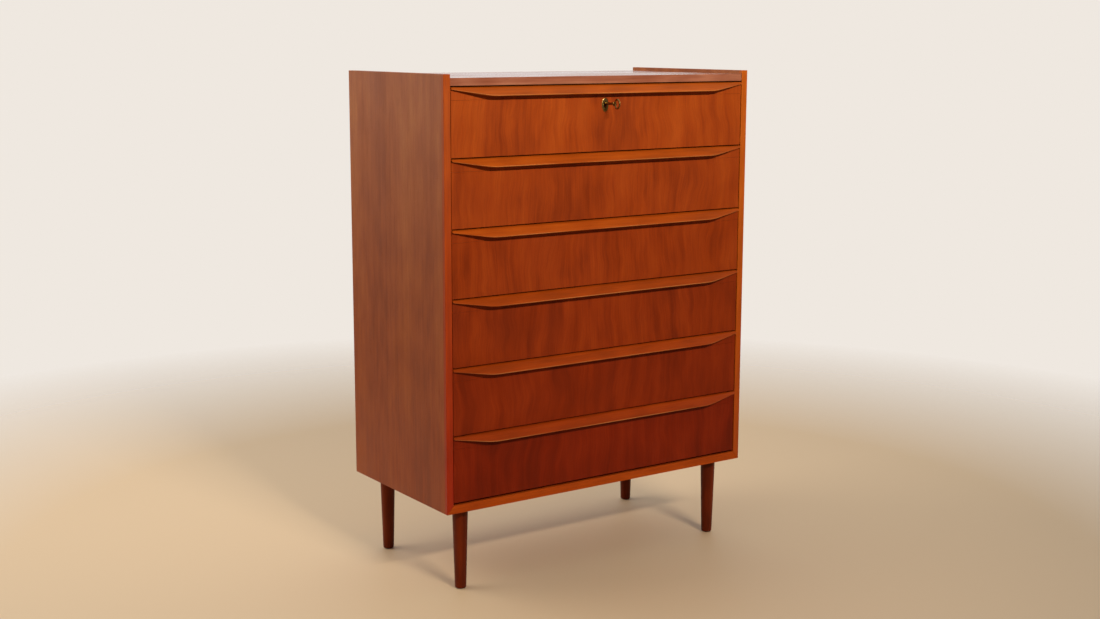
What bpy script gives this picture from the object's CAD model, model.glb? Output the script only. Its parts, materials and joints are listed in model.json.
"""The looks of a tall chest of six drawers in teak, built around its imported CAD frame.

The boards, the drawer boxes and the lock keep their CAD solids and get softened edges and wood or metal
finishes. The lip pulls, the legs and the key are rebuilt here as finer shapes, and the small fittings are
added: the keyhole plate, the strike plate, the screws, the pins in the back and the glides under the feet.
Metres, +Z up, drawer fronts towards -Y, in the same frame as the CAD.
"""

import json
import math

import bmesh
import bpy
from mathutils import Matrix, Vector


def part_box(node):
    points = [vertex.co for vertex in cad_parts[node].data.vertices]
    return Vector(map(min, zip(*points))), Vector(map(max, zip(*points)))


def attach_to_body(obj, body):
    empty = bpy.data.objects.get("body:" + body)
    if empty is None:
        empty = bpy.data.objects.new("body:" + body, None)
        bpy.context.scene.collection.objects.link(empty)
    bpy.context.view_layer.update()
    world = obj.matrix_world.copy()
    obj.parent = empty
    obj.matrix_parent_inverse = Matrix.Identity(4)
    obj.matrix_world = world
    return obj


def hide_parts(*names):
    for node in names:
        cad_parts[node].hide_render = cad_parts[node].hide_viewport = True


DRAWERS = range(1, 7)
HANDS = ("left", "right")
LEGS = ("front_left", "front_right", "back_left", "back_right")

# The camera, with its angles in degrees.
CAMERA_PLACE = (-1.9852, -2.8430, 1.1611)
CAMERA_YAW = 34.65
CAMERA_PITCH = 9.98
CAMERA_ROLL = 0.15
FOCAL_LENGTH = 50.7
SENSOR_WIDTH = 36.0

# The CAD solids' softened edges, and how their triangles are joined into whole faces first.
BOARD_EDGE = 0.0006
SMALL_EDGE = 0.0003
EDGE_SEGMENTS = 2
EDGE_ANGLE = 35
WELD_REACH = 0.00001
FLAT_ANGLE = 0.5
FLAT_FACE_WEIGHT = 100

# The heights between which the carcass's teak changes from its lower to its upper shades.
LOW_SHADES_Z = 0.25
HIGH_SHADES_Z = 1.0

# The solid bands on the front edges of the boards, and the glue line behind them.
BAND_DEPTH = 0.009
GLUE_LINE = 0.0002
GLUE_DARKNESS = 0.6
GLUE_SHADE = "3a1a0c"

# The lip pulls. The nose's angles are in degrees around its section.
LIP_END_REACH = 0.005
LIP_TAPER = 0.104
LIP_EASING = 0.3
LIP_TAPER_STEPS = 28
LIP_ROOT_DROP = 0.0198
LIP_END_DROP = 0.004
LIP_TOP_EASING = 0.006
LIP_TOP_STEPS = 4
NOSE_DROP = 0.0183
NOSE_RADIUS = 0.0012
NOSE_START = 135
NOSE_SWEEP = 135
NOSE_STEPS = 6
NOSE_WEAR = 0.0022
FINGER_RADIUS = 0.006
FINGER_REACH = 0.0086
FINGER_DROP = 0.0188
FINGER_STEPS = 14
SAME_PLACE = 0.00001

# The pocket for the lock in the back of the top drawer's pull.
POCKET_MARGIN = 0.0003
POCKET_OVERRUN = 0.002

# The legs and the glides under them. The glide's outline is in shares of its radius and height.
LEG_SIDES = 72
LEG_TOP_RADIUS = 0.017
LEG_FOOT_RADIUS = 0.0123
LEG_SHOULDER = 0.1807
FOOT_LIFT = 0.0012
FOOT_ROUNDING = 0.003
FOOT_STEPS = 6
GLIDE_RADIUS = 0.0095
GLIDE_HEIGHT = 0.002
GLIDE_OUTLINE = ((0.55, 0.0), (0.85, 0.2), (1.0, 0.6), (1.0, 1.0))

# The keyhole plate. A rim's pairs are a distance from the outline and a share of the plate's thickness, and
# the height of the pins' feet is such a share too.
PLATE_HALF_WIDTH = 0.0088
PLATE_HALF_HEIGHT = 0.0148
PLATE_DROP = 0.0027
PLATE_THICKNESS = 0.0011
PLATE_SIDES = 64
PLATE_RIM = ((0.0, 0.0), (0.0, 0.35), (0.0005, 0.7), (0.0013, 0.8))
KEYHOLE_HALF_WIDTH = 0.0037
KEYHOLE_HALF_HEIGHT = 0.0064
KEYHOLE_RIM = ((0.0009, 1.0), (0.0002, 1.0), (0.0, 0.8), (0.0, 0.0))
PLATE_PIN_RADIUS = 0.0008
PLATE_PIN_RISE = 0.00048
PLATE_PIN_SPREAD = 0.0118
PLATE_PIN_FOOT = 0.7
PLATE_PIN_SIDES = 16

# The key. Its neck, between bow and collar, is a share of the shaft's radius. The collar's edges are shares
# of its radius and length.
KEY_SIDES = 40
KEY_SHAFT_RADIUS = 0.0028
KEY_SHAFT_CHAMFER = 0.0004
KEY_NECK_SHARE = 0.9
KEY_COLLAR_RADIUS = 0.0042
KEY_COLLAR_LENGTH = 0.003
COLLAR_EDGE_SHARE = 0.86
COLLAR_EASING_SHARE = 0.25
KEY_BOW_LENGTH = 0.020
KEY_BOW_HEIGHT = 0.023
KEY_BOW_RIM = 0.004
KEY_BOW_THICKNESS = 0.003
BOW_STEPS = 56
BOW_SECTION_STEPS = 14
KEY_BIT_REACH = 0.008
KEY_BIT_LENGTH = 0.004
KEY_BIT_THICKNESS = 0.002

# The strike plate.
STRIKE_LENGTH = 0.062
STRIKE_WIDTH = 0.012
STRIKE_THICKNESS = 0.0008
STRIKE_SLOT_LENGTH = 0.036
STRIKE_SLOT_WIDTH = 0.0075

# The screws. The slot's floor is a share of the head's rise, and the runners' screws stand at shares of the
# runner's length.
SCREW_RADIUS = 0.0026
SCREW_RISE = 0.0003
SCREW_SLOT = 0.0007
SCREW_SLOT_FLOOR = 0.2
SCREW_SIDES = 24
SCREW_HALF_STEPS = 12
LOCK_SCREW_INSET = 0.007
RUNNER_SCREW_PLACES = (0.08, 0.5, 0.92)

# The pins in the back, and the round heads of all pins. A head's tip is a share of its radius.
BACK_PIN_RADIUS = 0.0022
BACK_PIN_RISE = 0.0007
BACK_PIN_PITCH = 0.11
BACK_PIN_INSET_X = 0.004
BACK_PIN_INSET_Z = 0.008
BACK_PIN_SIDES = 14
HEAD_STEPS = 4
HEAD_TIP = 0.05

# The floor.
FLOOR_SHADE = "dcbe96"
FLOOR_ROUGHNESS = 0.6
FLOOR_FADE_START = 1.25
FLOOR_FADE_END = 2.6

# The surround: its shade to the camera, and the light that it gives, which is strongest from the bright side
# and warm from below the horizon.
SURROUND_SHADE = "efe8e0"
BRIGHT_SIDE = (0.0, 0.95, 0.31)
BRIGHT_SIDE_RANGE = (-0.5, 0.9)
SURROUND_DIM = 0.10
SURROUND_BRIGHT = 0.95
LIGHT_FROM_BELOW = (0.20, 0.13, 0.08, 1.0)
HORIZON_RANGE = (-0.12, 0.0)

# The lights, with their power in watts and their spread in degrees.
KEY_LIGHT = {
    "place": (-0.33, -4.2, 2.9),
    "target": (0.0, -0.2, 1.3),
    "width": 1.2,
    "height": 0.25,
    "power": 17.5,
    "tint": (1.0, 0.93, 0.84),
    "spread": 50,
}
BACK_LIGHT = {
    "place": (-1.9, 1.3, 2.0),
    "target": (-0.4, 0.0, 1.0),
    "width": 2.0,
    "height": 1.3,
    "power": 24,
    "tint": (1.0, 0.97, 0.93),
    "spread": 180,
}

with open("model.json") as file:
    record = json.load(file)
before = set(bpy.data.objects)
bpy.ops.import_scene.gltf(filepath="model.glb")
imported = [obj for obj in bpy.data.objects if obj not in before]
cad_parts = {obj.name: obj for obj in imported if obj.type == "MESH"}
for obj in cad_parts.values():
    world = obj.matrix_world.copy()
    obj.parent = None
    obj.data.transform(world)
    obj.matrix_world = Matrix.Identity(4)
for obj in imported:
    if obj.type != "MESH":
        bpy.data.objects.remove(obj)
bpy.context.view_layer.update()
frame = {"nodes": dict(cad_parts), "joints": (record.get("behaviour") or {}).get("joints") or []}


# ---------------------------------------------------------------------------------------------------
# Node trees
# ---------------------------------------------------------------------------------------------------

def colour(code):
    """The linear colour of a hex code such as "9c5230"."""
    parts = [int(code[i:i + 2], 16) / 255 for i in (0, 2, 4)]
    linear = [p / 12.92 if p <= 0.04045 else ((p + 0.055) / 1.055) ** 2.4 for p in parts]
    return (*linear, 1.0)


class Nodes:
    """A node tree that grows one call at a time. Each call gives back the new node's output."""

    def __init__(self, tree):
        self.tree = tree

    def feed(self, socket, value):
        if isinstance(value, bpy.types.NodeSocket):
            self.tree.links.new(value, socket)
        else:
            socket.default_value = value

    def add(self, kind, output, inputs, **settings):
        node = self.tree.nodes.new(kind)
        for key, value in settings.items():
            setattr(node, key, value)
        for key, value in inputs.items():
            self.feed(node.inputs[key], value)
        return node.outputs[output]

    def parts(self, vector):
        node = self.tree.nodes.new("ShaderNodeSeparateXYZ")
        self.feed(node.inputs[0], vector)
        return node.outputs[0], node.outputs[1], node.outputs[2]

    def joined(self, x, y, z):
        return self.add("ShaderNodeCombineXYZ", 0, {0: x, 1: y, 2: z})

    def math(self, operation, first, second=0.0):
        return self.add("ShaderNodeMath", 0, {0: first, 1: second}, operation=operation)

    def moved(self, vector, shift):
        return self.add("ShaderNodeVectorMath", 0, {0: vector, 1: shift}, operation="ADD")

    def scaled(self, vector, factors):
        return self.add("ShaderNodeVectorMath", 0, {0: vector, 1: factors}, operation="MULTIPLY")

    def dot(self, first, second):
        return self.add("ShaderNodeVectorMath", "Value", {0: first, 1: second}, operation="DOT_PRODUCT")

    def length(self, vector):
        return self.add("ShaderNodeVectorMath", "Value", {0: vector}, operation="LENGTH")

    def noise(self, vector, fineness, detail, roughness):
        """Noise that is finer along an axis where fineness is greater."""
        place = self.scaled(vector, fineness)
        inputs = {"Vector": place, "Scale": 1.0, "Detail": detail, "Roughness": roughness}
        return self.add("ShaderNodeTexNoise", "Fac", inputs)

    def ranged(self, value, low, high, start=0.0, end=1.0):
        """value taken from low..high to start..end, and held at the ends."""
        return self.add("ShaderNodeMapRange", 0, {0: value, 1: low, 2: high, 3: start, 4: end})

    def ramp(self, value, stops):
        """The colour for value, between stops that are pairs of a position and a colour."""
        node = self.tree.nodes.new("ShaderNodeValToRGB")
        self.feed(node.inputs[0], value)
        elements = node.color_ramp.elements
        while len(elements) < len(stops):
            elements.new(0.5)
        for element, (position, shade) in zip(elements, stops):
            element.position = position
            element.color = shade
        return node.outputs[0]

    def mixed(self, factor, first, second, blend="MIX"):
        inputs = {0: factor, 6: first, 7: second}
        return self.add("ShaderNodeMix", 2, inputs, data_type="RGBA", blend_type=blend)


class Finish(Nodes):
    """The node tree of a new material."""

    def __init__(self, name):
        self.material = bpy.data.materials.new(name)
        self.material.use_nodes = True
        super().__init__(self.material.node_tree)
        self.shader = self.tree.nodes["Principled BSDF"]

    def point(self):
        return self.add("ShaderNodeTexCoord", "Object", {})

    def bump(self, height, distance, strength):
        inputs = {"Height": height, "Distance": distance, "Strength": strength}
        self.feed(self.shader.inputs["Normal"], self.add("ShaderNodeBump", 0, inputs))

    def set(self, **values):
        """Sets or links the shader's inputs, with _ for the spaces in their names."""
        for key, value in values.items():
            self.feed(self.shader.inputs[key.replace("_", " ")], value)


# ---------------------------------------------------------------------------------------------------
# Wood
# ---------------------------------------------------------------------------------------------------

def palette(*codes):
    """The colours of one wood, from its darkest streak to its lightest."""
    return [colour(code) for code in codes]


def between(first, last, share):
    """The palette that lies the given share of the way from the first to the last."""
    return [[a + (b - a) * share for a, b in zip(start, end)] for start, end in zip(first, last)]


HIGH_FRONT_TEAK = palette("82300a", "993d0d", "a54711")
LOW_FRONT_TEAK = palette("661602", "781c03", "852406")
HIGH_LIP_TEAK = palette("924007", "a84b09", "b6570e")
LOW_LIP_TEAK = palette("883004", "9b3706", "a84109")
HIGH_LEFT_BAND_TEAK = palette("943b0a", "a6460e", "b45114")
LOW_LEFT_BAND_TEAK = palette("881a06", "991f04", "a62908")
HIGH_RIGHT_BAND_TEAK = palette("9e480a", "b4540c", "c26014")
LOW_RIGHT_BAND_TEAK = palette("983c0a", "ab4506", "b8500c")
BOTTOM_BAND_TEAK = palette("93380a", "a64108", "b34b0c")
HIGH_SIDE_TEAK = palette("8f4923", "a1572b", "ad6533")
LOW_SIDE_TEAK = palette("762b0b", "88360f", "964212")
TOP_TEAK = palette("7a3c20", "9a5430", "b66c42")
TOP_EDGE_TEAK = palette("7a4028", "965840", "ad7054")
LEG_WOOD = palette("4a1305", "641d06", "782809")
DRAWER_WOOD = palette("b5946a", "c6a67c", "d2b58c")
RUNNER_WOOD = palette("a88760", "b89870", "c4a67e")
PLYWOOD = palette("a08058", "ad8d65", "b99a72")

# The grain's own axes: which parts of a point become its X, Y and Z, with Z along the grain.
GRAIN_TURNS = {"X": (1, 2, 0), "Y": (2, 0, 1), "Z": (0, 1, 2)}
SEED_SHIFT = (0.731, 1.173, 0.419)

# The seeds of the six fronts' grain, from the top drawer down, and how strongly it bends.
FRONT_SEEDS = (91, 172, 173, 174, 175, 136)
FRONT_SWAY = 0.055

# The markings of wood, each a noise: its fineness on the grain's axes, its detail and its roughness.
BANDS = ((9.0, 9.0, 0.9), 2.0, 0.5)
STREAKS = ((65.0, 65.0, 1.6), 3.0, 0.6)
MOTTLE = ((38.0, 38.0, 17.0), 2.0, 0.5)
HAIRS = ((620.0, 620.0, 16.0), 2.0, 0.6)
PORES = ((1500.0, 1500.0, 42.0), 1.0, 0.5)
BENDS = ((5.0, 5.0, 8.0), 2.0, 0.5)
RING_DRIFT = ((15.0, 15.0, 2.2), 3.0, 0.55)
RUBBING = ((11.0, 11.0, 5.0), 3.0, 0.5)

# The growth rings: the distance between the hearts of their arches, how far the hearts are shifted, how
# slowly the arches close along the grain, how far the lines drift, and their phase in radians per metre.
HEART_SPACING = 0.19
HEART_SHIFT = 0.06
ARCH_SLOPE = 0.07
RING_DRIFT_REACH = 0.03
RING_PHASE = 600.0

# How much each marking adds to the tone, which runs from 0 for the darkest wood to 1 for the lightest.
RING_SHARE = 0.16
MARKING_SHARES = ((BANDS, 0.38), (STREAKS, 0.34), (MOTTLE, 0.12))
MARKING_RANGE = (0.33, 0.67)
TONE_STOPS = (0.15, 0.5, 0.85)

# How hair lines and pores darken the wood, roughen it and cut into it.
HAIR_STOPS = [(0.3, (0.86, 0.84, 0.82, 1.0)), (0.62, (1.04, 1.03, 1.02, 1.0))]
PORE_RANGE = (0.60, 0.70)
PORE_DARKNESS = 0.4
PORE_ROUGHNESS = 0.12
HAIR_DEPTH_SHARE = 0.35
GRAIN_DEPTH = 0.00012
GRAIN_STRENGTH = 0.5

# How uneven the oiled surface is, how warm its shine is, and what hands do to it.
RUBBING_RANGE = (0.3, 0.7)
SMOOTHER = 0.05
ROUGHER = 0.08
WARM_SHINE = (1.0, 0.72, 0.48, 1.0)
WORN_SHADE = "cf8a4c"
WORN_RANGE = (0.35, 0.6)
WORN_SHARES = (0.05, 0.45)
WORN_SMOOTHING = 0.1


def grain_point(finish, along, seed):
    """The object's own coordinates on the grain's axes, shifted by the seed."""
    parts = finish.parts(finish.point())
    on_grain = finish.joined(*(parts[i] for i in GRAIN_TURNS[along]))
    return finish.moved(on_grain, [part * seed for part in SEED_SHIFT])


def swayed(finish, point, sway):
    """The point, shifted across the grain by a drifting share of sway, so that the grain bends."""
    drift = finish.math("SUBTRACT", finish.noise(point, *BENDS), 0.5)
    return finish.moved(point, finish.joined(finish.math("MULTIPLY", drift, sway), 0.0, 0.0))


def rings(finish, point):
    """The lines of growth rings, cut nearly flat: straight in places, and long arches in between."""
    x, _, z = finish.parts(point)
    across = finish.math("SUBTRACT", finish.math("PINGPONG", x, HEART_SPACING), HEART_SHIFT)
    depth = finish.math("MULTIPLY", z, ARCH_SLOPE)
    radius = finish.length(finish.joined(across, depth, 0.0))
    drift = finish.math("MULTIPLY", finish.noise(point, *RING_DRIFT), RING_DRIFT_REACH)
    phase = finish.math("MULTIPLY", finish.math("ADD", radius, drift), RING_PHASE)
    return finish.math("MULTIPLY", finish.math("ADD", finish.math("SINE", phase), 1.0), 0.5)


def grain_tone(finish, point):
    """The tone of the wood at a point, from its growth rings, bands, streaks and mottle."""
    tone = finish.math("MULTIPLY", rings(finish, point), RING_SHARE)
    for marking, share in MARKING_SHARES:
        level = finish.ranged(finish.noise(point, *marking), *MARKING_RANGE)
        tone = finish.math("ADD", tone, finish.math("MULTIPLY", level, share))
    return tone


def toned(finish, tone, shades, high_shades):
    """The colour for a tone, which changes with height if there are two palettes."""
    low = finish.ramp(tone, list(zip(TONE_STOPS, shades)))
    if high_shades is None:
        return low
    high = finish.ramp(tone, list(zip(TONE_STOPS, high_shades)))
    height = finish.ranged(finish.parts(finish.point())[2], LOW_SHADES_Z, HIGH_SHADES_Z)
    return finish.mixed(height, low, high)


def banded(finish, shade, tone, edges):
    """The solid edge band in front of a veneered board, with the thin dark glue line behind it."""
    band_end, shades, high_shades = edges
    y = finish.parts(finish.point())[1]
    band = toned(finish, tone, shades, high_shades)
    with_band = finish.mixed(finish.math("LESS_THAN", y, band_end), shade, band)
    off_line = finish.math("ABSOLUTE", finish.math("SUBTRACT", y, band_end))
    on_line = finish.math("LESS_THAN", off_line, GLUE_LINE)
    return finish.mixed(finish.math("MULTIPLY", on_line, GLUE_DARKNESS), with_band, colour(GLUE_SHADE))


def worn(finish, shade, roughness, wear, rubbing):
    """The shade and the roughness, made lighter and smoother in patches where hands have rubbed."""
    touched = finish.add("ShaderNodeAttribute", "Fac", {}, attribute_name=wear)
    patches = finish.math("MULTIPLY", touched, finish.ranged(rubbing, *WORN_RANGE, *WORN_SHARES))
    shade = finish.mixed(patches, shade, colour(WORN_SHADE))
    return shade, finish.math("SUBTRACT", roughness, finish.math("MULTIPLY", patches, WORN_SMOOTHING))


def wood(
    name, shades, high_shades=None, along="Z", seed=1, roughness=0.46, shine=0.2,
    edges=None, wear=None, sway=None,
):
    """Oiled wood: broad bands, streaks and growth rings along the grain, hair lines, pores and uneven gloss.

    high_shades is the palette that the wood changes to with height.
    roughness is the middle of the surface's uneven roughness, and shine the strength of its reflections.
    edges is the Y where the solid band along the board's front edge ends, and the band's two palettes.
    wear names the mesh attribute that says where hands have rubbed the wood lighter and smoother.
    sway is how strongly the grain bends from side to side.
    """
    finish = Finish(name)
    point = grain_point(finish, along, seed)
    if sway is not None:
        point = swayed(finish, point, sway)
    tone = grain_tone(finish, point)
    hairs = finish.noise(point, *HAIRS)
    pores = finish.ranged(finish.noise(point, *PORES), *PORE_RANGE)
    rubbing = finish.noise(point, *RUBBING)
    shade = toned(finish, tone, shades, high_shades)
    if edges is not None:
        shade = banded(finish, shade, tone, edges)
    shade = finish.mixed(1.0, shade, finish.ramp(hairs, HAIR_STOPS), "MULTIPLY")
    shade = finish.mixed(finish.math("MULTIPLY", pores, PORE_DARKNESS), shade, shades[0])
    rough = finish.ranged(rubbing, *RUBBING_RANGE, roughness - SMOOTHER, roughness + ROUGHER)
    rough = finish.math("ADD", rough, finish.math("MULTIPLY", pores, PORE_ROUGHNESS))
    if wear is not None:
        shade, rough = worn(finish, shade, rough, wear, rubbing)
    finish.set(Base_Color=shade, Roughness=rough, Specular_IOR_Level=shine, Specular_Tint=WARM_SHINE)
    height = finish.math("SUBTRACT", finish.math("MULTIPLY", hairs, HAIR_DEPTH_SHARE), pores)
    finish.bump(height, GRAIN_DEPTH, GRAIN_STRENGTH)
    return finish.material


# ---------------------------------------------------------------------------------------------------
# Metal and plastic
# ---------------------------------------------------------------------------------------------------

# The metals' markings. The drawn lines are a noise that is coarse along the metal and fine across it.
TARNISH = ((240.0, 240.0, 240.0), 4.0, 0.65)
TARNISH_STOPS = (0.36, 0.58)
TARNISH_RANGE = (0.35, 0.65)
TARNISH_ROUGHNESS = 0.14
DRAWN_ALONG = 60.0
DRAWN_ACROSS = 2600.0
DRAWN_DETAIL = (2.0, 0.5)
DRAWN_DEPTH = 0.00002
DRAWN_STRENGTH = 0.4

# The plastic's markings.
RUBBED = ((180.0, 180.0, 180.0), 4.0, 0.5)
RUBBED_STOPS = (0.35, 0.65)
RUBBED_RANGE = (0.3, 0.7)
RUBBED_ROUGHNESS = (0.62, 0.42)
MOULD_GRAIN = ((2400.0, 2400.0, 2400.0), 1.0, 0.5)
MOULD_DEPTH = 0.00005
MOULD_STRENGTH = 0.3


def metal(name, dull, bright, roughness, along):
    """Worn metal: fine drawn lines, and darker, duller tarnish in patches."""
    finish = Finish(name)
    point = finish.point()
    fineness = [DRAWN_ALONG if axis == along else DRAWN_ACROSS for axis in "XYZ"]
    drawn = finish.noise(point, fineness, *DRAWN_DETAIL)
    tarnish = finish.noise(point, *TARNISH)
    finish.set(
        Base_Color=finish.ramp(tarnish, list(zip(TARNISH_STOPS, palette(dull, bright)))),
        Metallic=1.0,
        Roughness=finish.ranged(tarnish, *TARNISH_RANGE, roughness + TARNISH_ROUGHNESS, roughness),
    )
    finish.bump(drawn, DRAWN_DEPTH, DRAWN_STRENGTH)
    return finish.material


def moulded(name, dark, light):
    """Slightly rubbed dark plastic with a fine even texture."""
    finish = Finish(name)
    point = finish.point()
    rubbed = finish.noise(point, *RUBBED)
    texture = finish.noise(point, *MOULD_GRAIN)
    finish.set(
        Base_Color=finish.ramp(rubbed, list(zip(RUBBED_STOPS, palette(dark, light)))),
        Roughness=finish.ranged(rubbed, *RUBBED_RANGE, *RUBBED_ROUGHNESS),
    )
    finish.bump(texture, MOULD_DEPTH, MOULD_STRENGTH)
    return finish.material


# ---------------------------------------------------------------------------------------------------
# Shapes
# ---------------------------------------------------------------------------------------------------

def mesh_object(name, shape, *materials):
    """An object from a finished bmesh, smooth except at edges sharper than EDGE_ANGLE."""
    bmesh.ops.recalc_face_normals(shape, faces=shape.faces)
    mesh = bpy.data.meshes.new(name)
    shape.to_mesh(mesh)
    shape.free()
    mesh.shade_smooth()
    mesh.set_sharp_from_angle(angle=math.radians(EDGE_ANGLE))
    for material in materials:
        mesh.materials.append(material)
    piece = bpy.data.objects.new(name, mesh)
    bpy.context.scene.collection.objects.link(piece)
    return piece


def circle_angles(sides):
    return [2 * math.pi * i / sides for i in range(sides)]


def skin(shape, loops, closed=False):
    """Faces between one loop of vertices and the next, and caps on the two ends unless it is closed."""
    count = len(loops[0])
    pairs = list(zip(loops, loops[1:] + loops[:1])) if closed else list(zip(loops, loops[1:]))
    for near, far in pairs:
        for i in range(count):
            j = (i + 1) % count
            shape.faces.new((near[i], near[j], far[j], far[i]))
    if not closed:
        shape.faces.new(loops[0])
        shape.faces.new(list(reversed(loops[-1])))


def loft(shape, rows, closed=False):
    """A skin through rows of points, all with the same number of points."""
    skin(shape, [[shape.verts.new(point) for point in row] for row in rows], closed)


def turned(shape, profile, centre, axis, sides):
    """A solid of revolution. The profile is (radius, height) pairs from its foot to its tip."""
    turn = Vector((0, 0, 1)).rotation_difference(Vector(axis)).to_matrix()
    rows = []
    for radius, height in profile:
        ring = [Vector((radius * math.cos(a), radius * math.sin(a), height)) for a in circle_angles(sides)]
        rows.append([Vector(centre) + turn @ point for point in ring])
    loft(shape, rows)


def board(shape, low, high):
    (x0, y0, z0), (x1, y1, z1) = low, high
    loft(shape, [[(x0, y0, z), (x1, y0, z), (x1, y1, z), (x0, y1, z)] for z in (z0, z1)])


def round_head(shape, foot, axis, radius, rise, sides):
    """A low round head that stands on foot."""
    angles = [math.pi / 2 * i / HEAD_STEPS for i in range(HEAD_STEPS + 1)]
    profile = [(max(radius * math.cos(a), radius * HEAD_TIP), rise * math.sin(a)) for a in angles]
    turned(shape, profile, foot, axis, sides)


def slotted_screw(shape, foot, axis, angle):
    """A flat slotted screw head: a disc with two raised halves and the slot between them."""
    axis = Vector(axis)
    base = Vector(foot)
    disc = [(SCREW_RADIUS, -SCREW_RISE), (SCREW_RADIUS, SCREW_RISE * SCREW_SLOT_FLOOR)]
    turned(shape, disc, base, axis, SCREW_SIDES)
    turn = Vector((0, 0, 1)).rotation_difference(axis).to_matrix() @ Matrix.Rotation(angle, 3, "Z")
    limit = math.asin(SCREW_SLOT / 2 / SCREW_RADIUS)
    sweep = math.pi - 2 * limit
    for side in (0, math.pi):
        angles = [side + limit + sweep * i / SCREW_HALF_STEPS for i in range(SCREW_HALF_STEPS + 1)]
        flat = [Vector((SCREW_RADIUS * math.cos(a), SCREW_RADIUS * math.sin(a), 0)) for a in angles]
        rim = [base + turn @ point for point in flat]
        loft(shape, [rim, [point + axis * SCREW_RISE for point in rim]])


def soften(piece, width, edge_slot):
    """Rounds the sharp edges, in the material of the given slot."""
    bevel = piece.modifiers.new("softened edges", "BEVEL")
    bevel.width = width
    bevel.segments = EDGE_SEGMENTS
    bevel.limit_method = "ANGLE"
    bevel.angle_limit = math.radians(EDGE_ANGLE)
    bevel.use_clamp_overlap = False
    bevel.material = edge_slot


def soften_node(node, width, *materials):
    """A CAD node's finish: its triangles joined into whole faces, then its edges in the last material."""
    piece = frame["nodes"][node]
    piece.data.materials.clear()
    for material in materials:
        piece.data.materials.append(material)
    weld = piece.modifiers.new("whole solid", "WELD")
    weld.merge_threshold = WELD_REACH
    flat = piece.modifiers.new("whole faces", "DECIMATE")
    flat.decimate_type = "DISSOLVE"
    flat.angle_limit = math.radians(FLAT_ANGLE)
    soften(piece, width, len(materials) - 1)
    normals = piece.modifiers.new("flat faces", "WEIGHTED_NORMAL")
    normals.weight = FLAT_FACE_WEIGHT


def attach(piece, body, slot, *nodes):
    """Lets the piece move with a body, in a material slot, instead of the CAD nodes that it replaces."""
    if nodes:
        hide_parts(*nodes)
    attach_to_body(piece, body)


# ---------------------------------------------------------------------------------------------------
# The carcass and the drawer boxes, on their CAD solids
# ---------------------------------------------------------------------------------------------------

def finish_carcass():
    band_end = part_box("side_left")[0].y + BAND_DEPTH
    finish_sides(band_end)
    bottom_edges = (band_end, BOTTOM_BAND_TEAK, None)
    bottom = wood("bottom", LOW_SIDE_TEAK, along="X", seed=7, edges=bottom_edges)
    bottom_edge = wood("bottom_edge", BOTTOM_BAND_TEAK, along="X", seed=7, roughness=0.36)
    soften_node("bottom_panel", BOARD_EDGE, bottom, bottom_edge)
    top_edges = (band_end, TOP_EDGE_TEAK, None)
    top = wood("top", TOP_TEAK, along="X", seed=5, roughness=0.14, shine=0.5, edges=top_edges)
    top_edge = wood("top_edge", TOP_EDGE_TEAK, along="X", seed=5, roughness=0.3)
    soften_node("top_panel", BOARD_EDGE, top, top_edge)
    soften_node("back_panel", SMALL_EDGE, wood("back", PLYWOOD, seed=11, roughness=0.62))
    for seed, number in enumerate(DRAWERS, start=20):
        runner = wood(f"runner_{number}", RUNNER_WOOD, along="Y", seed=seed, roughness=0.5)
        for hand in HANDS:
            soften_node(f"runner_{number}_{hand}", BOARD_EDGE, runner)


def finish_sides(band_end):
    bands = {
        "left": (band_end, LOW_LEFT_BAND_TEAK, HIGH_LEFT_BAND_TEAK),
        "right": (band_end, LOW_RIGHT_BAND_TEAK, HIGH_RIGHT_BAND_TEAK),
    }
    for seed, hand in enumerate(HANDS, start=3):
        teak = {"shades": LOW_SIDE_TEAK, "high_shades": HIGH_SIDE_TEAK, "seed": seed, "edges": bands[hand]}
        veneer = wood(f"side_{hand}", roughness=0.42, shine=0.4, **teak)
        edge = wood(f"side_{hand}_edge", roughness=0.36, **teak)
        soften_node(f"side_{hand}", BOARD_EDGE, veneer, edge)


def how_low(number):
    """Where a drawer is in the chest, from 0 for the top one to 1 for the bottom one."""
    return (number - 1) / (len(DRAWERS) - 1)


def finish_drawer(number):
    shades = between(HIGH_FRONT_TEAK, LOW_FRONT_TEAK, how_low(number))
    veneer = wood(f"front_{number}", shades, seed=FRONT_SEEDS[number - 1], sway=FRONT_SWAY)
    soften_node(f"drawer_{number}_front", SMALL_EDGE, veneer)
    side = wood(f"drawer_side_{number}", DRAWER_WOOD, along="Y", seed=40 + number, roughness=0.55)
    for hand in HANDS:
        soften_node(f"drawer_{number}_side_{hand}", SMALL_EDGE, side)
    back = wood(f"drawer_back_{number}", DRAWER_WOOD, along="X", seed=50 + number, roughness=0.55)
    soften_node(f"drawer_{number}_back", SMALL_EDGE, back)
    floor = wood(f"drawer_floor_{number}", PLYWOOD, along="X", seed=60 + number, roughness=0.6)
    soften_node(f"drawer_{number}_floor", SMALL_EDGE, floor)
    make_pull(number, veneer)


# ---------------------------------------------------------------------------------------------------
# The lip pulls
# ---------------------------------------------------------------------------------------------------

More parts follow.
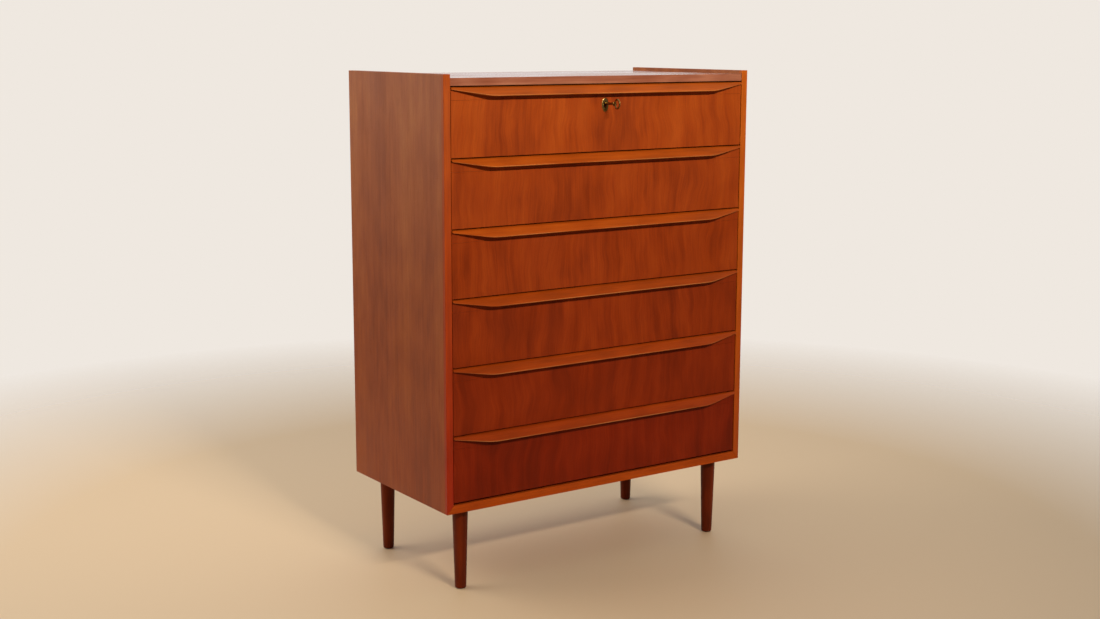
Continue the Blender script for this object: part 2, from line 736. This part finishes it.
def lip_section(reach, height, thickness):
    """The pull's section in Y and Z from the front's top edge, with how worn each point is."""
    run = Vector((-reach, -NOSE_DROP))
    section = []
    for step in range(LIP_TOP_STEPS + 1):
        share = step / LIP_TOP_STEPS
        back = LIP_TOP_EASING * (1 - share) ** 2
        down = run * (LIP_TOP_EASING * share ** 2 / run.length)
        section.append((back + down.x, down.y, 0.0))
    before_nose = run * (1 - NOSE_WEAR / run.length)
    section.append((before_nose.x, before_nose.y, 0.0))
    for step in range(NOSE_STEPS + 1):
        angle = math.radians(NOSE_START + NOSE_SWEEP * step / NOSE_STEPS)
        y = NOSE_RADIUS - reach + NOSE_RADIUS * math.cos(angle)
        z = NOSE_RADIUS - NOSE_DROP + NOSE_RADIUS * math.sin(angle)
        section.append((y, z, 1.0))
    for step in range(FINGER_STEPS + 1):
        angle = math.pi * step / FINGER_STEPS
        y = -FINGER_REACH - FINGER_RADIUS * math.cos(angle)
        z = -FINGER_DROP + FINGER_RADIUS * math.sin(angle)
        section.append((y, z, 0.0))
    section += [
        (0.0, -LIP_ROOT_DROP, 0.0),
        (0.0, -height, 0.0),
        (thickness, -height, 0.0),
        (thickness, 0.0, 0.0),
    ]
    return section


def lip_scale(x, half_width, reach):
    """How large the lip is at x, as a share of its full size: it grows evenly, then eases into full size."""
    inward = min(1.0, (half_width - abs(x)) / LIP_TAPER)
    bend = 1 / (LIP_EASING * (2 - LIP_EASING))
    share = 2 * bend * LIP_EASING * inward if inward < 1 - LIP_EASING else 1 - bend * (1 - inward) ** 2
    return (LIP_END_REACH + (reach - LIP_END_REACH) * share) / reach


def pull_shape(low, high, face_y):
    """The pull as sections from end to end. Only the lip in front of face_y shrinks towards the ends."""
    reach = face_y - low.y
    height = high.z - low.z
    section = lip_section(reach, height, high.y - face_y)
    stations = [high.x - LIP_TAPER * i / LIP_TAPER_STEPS for i in range(LIP_TAPER_STEPS + 1)]
    shape = bmesh.new()
    wear = shape.verts.layers.float.new("wear")
    rows = []
    for x in [-station for station in stations] + stations[::-1]:
        scale = lip_scale(x, high.x, reach)
        row = []
        for y, z, worn_share in section:
            shrink = scale if y <= 0 and z > -height else 1.0
            vertex = shape.verts.new((x, face_y + y * shrink, high.z + z * shrink))
            vertex[wear] = worn_share
            row.append(vertex)
        rows.append(row)
    skin(shape, rows)
    return shape


def make_pull(number, veneer):
    """The front's veneer runs on over the flat strip below the lip, so the joint hardly shows."""
    low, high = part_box(f"drawer_{number}_pull")
    face_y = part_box(f"drawer_{number}_front")[0].y
    shape = pull_shape(low, high, face_y)
    for face in shape.faces:
        middle = face.calc_center_median()
        if abs(middle.y - face_y) < SAME_PLACE and middle.z < high.z - LIP_END_DROP:
            face.material_index = 1
    shades = between(HIGH_LIP_TEAK, LOW_LIP_TEAK, how_low(number))
    teak = wood(f"lip_{number}", shades, along="X", seed=70 + number, roughness=0.42, wear="wear")
    piece = mesh_object(f"drawer_{number}_lip", shape, teak, veneer)
    if number == 1:
        carve_lock_pocket(piece)
    attach(piece, f"drawer_{number}", "pull_teak", f"drawer_{number}_pull")


def carve_lock_pocket(piece):
    """Cuts the lock's pocket out of the back of the top drawer's pull."""
    low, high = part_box("lock_case")
    below = Vector((POCKET_MARGIN, POCKET_MARGIN, POCKET_MARGIN))
    above = Vector((POCKET_MARGIN, POCKET_OVERRUN, POCKET_OVERRUN))
    shape = bmesh.new()
    board(shape, low - below, high + above)
    cutter = mesh_object("lock_pocket", shape)
    pocket = piece.modifiers.new("lock pocket", "BOOLEAN")
    pocket.operation = "DIFFERENCE"
    pocket.solver = "EXACT"
    pocket.object = cutter
    evaluated = piece.evaluated_get(bpy.context.evaluated_depsgraph_get())
    mesh = bpy.data.meshes.new_from_object(evaluated)
    piece.modifiers.clear()
    piece.data = mesh
    bpy.data.objects.remove(cutter)


# ---------------------------------------------------------------------------------------------------
# The legs
# ---------------------------------------------------------------------------------------------------

def leg_centre(place):
    low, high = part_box(f"leg_{place}")
    return Vector(((low.x + high.x) / 2, (low.y + high.y) / 2, 0.0))


def make_leg(place, seed):
    """The visible leg: a rounded foot and a straight taper up to the bottom panel."""
    profile = [(LEG_FOOT_RADIUS - FOOT_ROUNDING, FOOT_LIFT)]
    for step in range(1, FOOT_STEPS + 1):
        angle = math.pi / 2 * step / FOOT_STEPS
        radius = LEG_FOOT_RADIUS - FOOT_ROUNDING * (1 - math.sin(angle))
        profile.append((radius, FOOT_LIFT + FOOT_ROUNDING * (1 - math.cos(angle))))
    profile.append((LEG_TOP_RADIUS, LEG_SHOULDER))
    shape = bmesh.new()
    turned(shape, profile, leg_centre(place), (0, 0, 1), LEG_SIDES)
    stained = wood(f"leg_{place}", LEG_WOOD, seed=seed, roughness=0.4)
    attach(mesh_object(f"turned_leg_{place}", shape, stained), "carcass", "leg_wood", f"leg_{place}")


def make_glide(place, plastic):
    profile = [(GLIDE_RADIUS * outward, GLIDE_HEIGHT * up) for outward, up in GLIDE_OUTLINE]
    shape = bmesh.new()
    turned(shape, profile, leg_centre(place), (0, 0, 1), LEG_SIDES)
    attach(mesh_object(f"glide_{place}", shape, plastic), "carcass", "leg_wood")


# ---------------------------------------------------------------------------------------------------
# The keyhole plate and the key
# ---------------------------------------------------------------------------------------------------

def key_axis():
    joint = next(joint for joint in frame["joints"] if joint["name"] == "key_turn")
    return Vector(joint["pos_m"])


def plate_outline(centre, inset, lift):
    """The keyhole plate's oval, brought in by inset and lifted off the drawer front."""
    half_width = PLATE_HALF_WIDTH - inset
    half_height = PLATE_HALF_HEIGHT - inset
    angles = circle_angles(PLATE_SIDES)
    return [centre + Vector((half_width * math.cos(a), -lift, half_height * math.sin(a))) for a in angles]


def keyhole_outline(centre, margin, lift):
    """The keyhole, an upright slot with round ends, grown by margin and lifted off the drawer front."""
    half_width = KEYHOLE_HALF_WIDTH + margin
    straight = KEYHOLE_HALF_HEIGHT - KEYHOLE_HALF_WIDTH
    points = []
    for a in circle_angles(PLATE_SIDES):
        z = half_width * math.sin(a) + math.copysign(straight, math.sin(a))
        points.append(centre + Vector((half_width * math.cos(a), -lift, z)))
    return points


def make_keyhole_plate(brass):
    centre = key_axis() - Vector((0, 0, PLATE_DROP))
    rows = [plate_outline(centre, inset, PLATE_THICKNESS * share) for inset, share in PLATE_RIM]
    rows += [keyhole_outline(centre, margin, PLATE_THICKNESS * share) for margin, share in KEYHOLE_RIM]
    shape = bmesh.new()
    loft(shape, rows, closed=True)
    attach(mesh_object("keyhole_plate", shape, brass), "drawer_1", "key_brass")
    shape = bmesh.new()
    for end in (-1, 1):
        foot = centre + Vector((0, -PLATE_THICKNESS * PLATE_PIN_FOOT, end * PLATE_PIN_SPREAD))
        round_head(shape, foot, (0, -1, 0), PLATE_PIN_RADIUS, PLATE_PIN_RISE, PLATE_PIN_SIDES)
    attach(mesh_object("keyhole_plate_pins", shape, brass), "drawer_1", "key_brass")


def key_shaft_profile(collar_y, tip_y):
    """The neck, the collar and the shaft, as radii along Y from the bow to the tip."""
    easing = KEY_COLLAR_LENGTH * COLLAR_EASING_SHARE
    collar_end = collar_y + KEY_COLLAR_LENGTH
    return [
        (KEY_SHAFT_RADIUS * KEY_NECK_SHARE, collar_y - KEY_BOW_RIM),
        (KEY_SHAFT_RADIUS, collar_y),
        (KEY_COLLAR_RADIUS * COLLAR_EDGE_SHARE, collar_y),
        (KEY_COLLAR_RADIUS, collar_y + easing),
        (KEY_COLLAR_RADIUS, collar_end - easing),
        (KEY_COLLAR_RADIUS * COLLAR_EDGE_SHARE, collar_end),
        (KEY_SHAFT_RADIUS, collar_end),
        (KEY_SHAFT_RADIUS, tip_y - KEY_SHAFT_CHAMFER),
        (KEY_SHAFT_RADIUS - KEY_SHAFT_CHAMFER, tip_y),
    ]


def key_bow(shape, middle):
    """The bow: an oval ring in the YZ plane, with an oval section."""
    half_length = (KEY_BOW_LENGTH - KEY_BOW_RIM) / 2
    half_height = (KEY_BOW_HEIGHT - KEY_BOW_RIM) / 2
    rows = []
    for angle in circle_angles(BOW_STEPS):
        outward = Vector((0, math.cos(angle), math.sin(angle)))
        heart = middle + Vector((0, half_length * outward.y, half_height * outward.z))
        row = []
        for turn in circle_angles(BOW_SECTION_STEPS):
            across = outward * (KEY_BOW_RIM / 2 * math.cos(turn))
            row.append(heart + across + Vector((KEY_BOW_THICKNESS / 2 * math.sin(turn), 0, 0)))
        rows.append(row)
    loft(shape, rows, closed=True)


def make_key(brass):
    """The key in its rest position: bow, collar and shaft along Y, and the bit hanging from the shaft."""
    low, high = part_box("key")
    axis = key_axis()
    shape = bmesh.new()
    profile = key_shaft_profile(low.y + KEY_BOW_LENGTH, high.y)
    turned(shape, profile, (axis.x, 0.0, axis.z), (0, 1, 0), KEY_SIDES)
    key_bow(shape, Vector((axis.x, low.y + KEY_BOW_LENGTH / 2, axis.z)))
    half_bit = KEY_BIT_THICKNESS / 2
    bit_low = (axis.x - half_bit, high.y - KEY_BIT_LENGTH, axis.z - KEY_BIT_REACH)
    bit_high = (axis.x + half_bit, high.y, axis.z - KEY_SHAFT_RADIUS / 2)
    board(shape, bit_low, bit_high)
    attach(mesh_object("brass_key", shape, brass), "key", "key_brass", "key")


# ---------------------------------------------------------------------------------------------------
# The strike plate, the screws and the pins in the back
# ---------------------------------------------------------------------------------------------------

def oblong(y, z, length, width):
    """The corners of a flat oblong at height z, with its middle on the chest's middle line at y."""
    corners = ((-1, -1), (1, -1), (1, 1), (-1, 1))
    return [(a * length / 2, y + b * width / 2, z) for a, b in corners]


def make_strike_plate(brass, steel):
    """The slotted plate that the bolt passes through, let in under the top panel, and its two screws."""
    bolt_low, bolt_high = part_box("lock_bolt")
    y = (bolt_low.y + bolt_high.y) / 2
    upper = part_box("top_panel")[0].z
    lower = upper - STRIKE_THICKNESS
    rows = [oblong(y, z, STRIKE_LENGTH, STRIKE_WIDTH) for z in (upper, lower)]
    rows += [oblong(y, z, STRIKE_SLOT_LENGTH, STRIKE_SLOT_WIDTH) for z in (lower, upper)]
    shape = bmesh.new()
    loft(shape, rows, closed=True)
    attach(mesh_object("strike_plate", shape, brass), "carcass", "key_brass")
    screw_x = (STRIKE_LENGTH + STRIKE_SLOT_LENGTH) / 4
    shape = bmesh.new()
    slotted_screw(shape, (-screw_x, y, lower), (0, 0, -1), angle=0.6)
    slotted_screw(shape, (screw_x, y, lower), (0, 0, -1), angle=2.1)
    attach(mesh_object("strike_plate_screws", shape, steel), "carcass", "lock_steel")


def make_lock_screws(steel):
    """A screw near each corner of the lock case, with every slot at an angle of its own."""
    low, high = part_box("lock_case")
    shape = bmesh.new()
    for i, x in enumerate((low.x + LOCK_SCREW_INSET, high.x - LOCK_SCREW_INSET)):
        for j, z in enumerate((low.z + LOCK_SCREW_INSET, high.z - LOCK_SCREW_INSET)):
            slotted_screw(shape, (x, high.y, z), (0, 1, 0), angle=0.5 + 1.3 * i + 0.8 * j)
    attach(mesh_object("lock_screws", shape, steel), "drawer_1", "lock_steel")


def make_runner_screws(steel):
    """Three screws through every runner, with the slots at different angles."""
    shape = bmesh.new()
    for number in DRAWERS:
        for hand, inward in (("left", 1), ("right", -1)):
            low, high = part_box(f"runner_{number}_{hand}")
            x = high.x if inward > 0 else low.x
            z = (low.z + high.z) / 2
            for share in RUNNER_SCREW_PLACES:
                y = low.y + (high.y - low.y) * share
                slotted_screw(shape, (x, y, z), (inward, 0, 0), angle=number + 2 * share)
    attach(mesh_object("runner_screws", shape, steel), "carcass", "lock_steel")


def make_back_pins(steel):
    """Pins all around the edge of the back panel, at the nearest even spacing to BACK_PIN_PITCH."""
    low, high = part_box("back_panel")
    x0, x1 = low.x + BACK_PIN_INSET_X, high.x - BACK_PIN_INSET_X
    z0, z1 = low.z + BACK_PIN_INSET_Z, high.z - BACK_PIN_INSET_Z
    across = round((x1 - x0) / BACK_PIN_PITCH)
    up = round((z1 - z0) / BACK_PIN_PITCH)
    places = [(x0 + (x1 - x0) * i / across, z) for i in range(across + 1) for z in (z0, z1)]
    places += [(x, z0 + (z1 - z0) * i / up) for i in range(1, up) for x in (x0, x1)]
    shape = bmesh.new()
    for x, z in places:
        foot = (x, high.y - BACK_PIN_RISE, z)
        round_head(shape, foot, (0, 1, 0), BACK_PIN_RADIUS, BACK_PIN_RISE, BACK_PIN_SIDES)
    attach(mesh_object("back_pins", shape, steel), "carcass", "lock_steel")


# ---------------------------------------------------------------------------------------------------
# The floor, the surround, the lights and the camera
# ---------------------------------------------------------------------------------------------------

def make_floor():
    """A plain pale floor that fades into the surround a few steps away from the chest."""
    finish = Finish("pale floor")
    finish.set(Base_Color=colour(FLOOR_SHADE), Roughness=FLOOR_ROUGHNESS)
    fade = finish.ranged(finish.length(finish.point()), FLOOR_FADE_START, FLOOR_FADE_END)
    clear = finish.add("ShaderNodeBsdfTransparent", 0, {})
    faded = finish.add("ShaderNodeMixShader", 0, {0: fade, 1: finish.shader.outputs[0], 2: clear})
    finish.feed(finish.tree.nodes["Material Output"].inputs[0], faded)
    shape = bmesh.new()
    bmesh.ops.create_grid(shape, x_segments=1, y_segments=1, size=FLOOR_FADE_END)
    mesh_object("floor", shape, finish.material)


def make_surround():
    """A pale surround, plain to the camera. Its light is brighter behind the chest, and warm from below."""
    world = bpy.data.worlds.new("surround")
    bpy.context.scene.world = world
    world.use_nodes = True
    nodes = Nodes(world.node_tree)
    direction = nodes.add("ShaderNodeTexCoord", "Generated", {})
    towards = nodes.dot(direction, BRIGHT_SIDE)
    level = nodes.ranged(towards, *BRIGHT_SIDE_RANGE, SURROUND_DIM, SURROUND_BRIGHT)
    above = nodes.ranged(nodes.parts(direction)[2], *HORIZON_RANGE)
    light = nodes.mixed(above, LIGHT_FROM_BELOW, level)
    seen = nodes.add("ShaderNodeLightPath", "Is Camera Ray", {})
    nodes.feed(nodes.tree.nodes["Background"].inputs[0], nodes.mixed(seen, light, colour(SURROUND_SHADE)))


def make_light(name, place, target, width, height, power, tint, spread):
    light = bpy.data.lights.new(name, "AREA")
    light.shape = "RECTANGLE"
    light.size = width
    light.size_y = height
    light.energy = power
    light.color = tint
    light.spread = math.radians(spread)
    lamp = bpy.data.objects.new(name, light)
    bpy.context.scene.collection.objects.link(lamp)
    lamp.visible_camera = False
    lamp.location = place
    lamp.rotation_euler = (Vector(target) - Vector(place)).to_track_quat("-Z", "Y").to_euler()


def make_camera():
    data = bpy.data.cameras.new("camera")
    data.lens = FOCAL_LENGTH
    data.sensor_width = SENSOR_WIDTH
    camera = bpy.data.objects.new("camera", data)
    bpy.context.scene.collection.objects.link(camera)
    camera.matrix_world = (
        Matrix.Translation(CAMERA_PLACE)
        @ Matrix.Rotation(math.radians(-CAMERA_YAW), 4, "Z")
        @ Matrix.Rotation(math.radians(90 - CAMERA_PITCH), 4, "X")
        @ Matrix.Rotation(math.radians(CAMERA_ROLL), 4, "Z")
    )
    bpy.context.scene.camera = camera


make_camera()
make_floor()
make_surround()
make_light("key", **KEY_LIGHT)
make_light("back left", **BACK_LIGHT)
bpy.context.scene.view_settings.view_transform = "Standard"

brass = metal("brass", "5c4824", "a3844a", roughness=0.28, along="Y")
steel = metal("steel", "5c5a56", "9a9792", roughness=0.34, along="Z")
glide_plastic = moulded("glide", "120d0b", "221a16")

finish_carcass()
for number in DRAWERS:
    finish_drawer(number)
for seed, place in enumerate(LEGS, start=80):
    make_leg(place, seed)
    make_glide(place, glide_plastic)
soften_node("lock_case", SMALL_EDGE, steel)
soften_node("lock_bolt", SMALL_EDGE, brass)
make_keyhole_plate(brass)
make_key(brass)
make_strike_plate(brass, steel)
make_lock_screws(steel)
make_runner_screws(steel)
make_back_pins(steel)
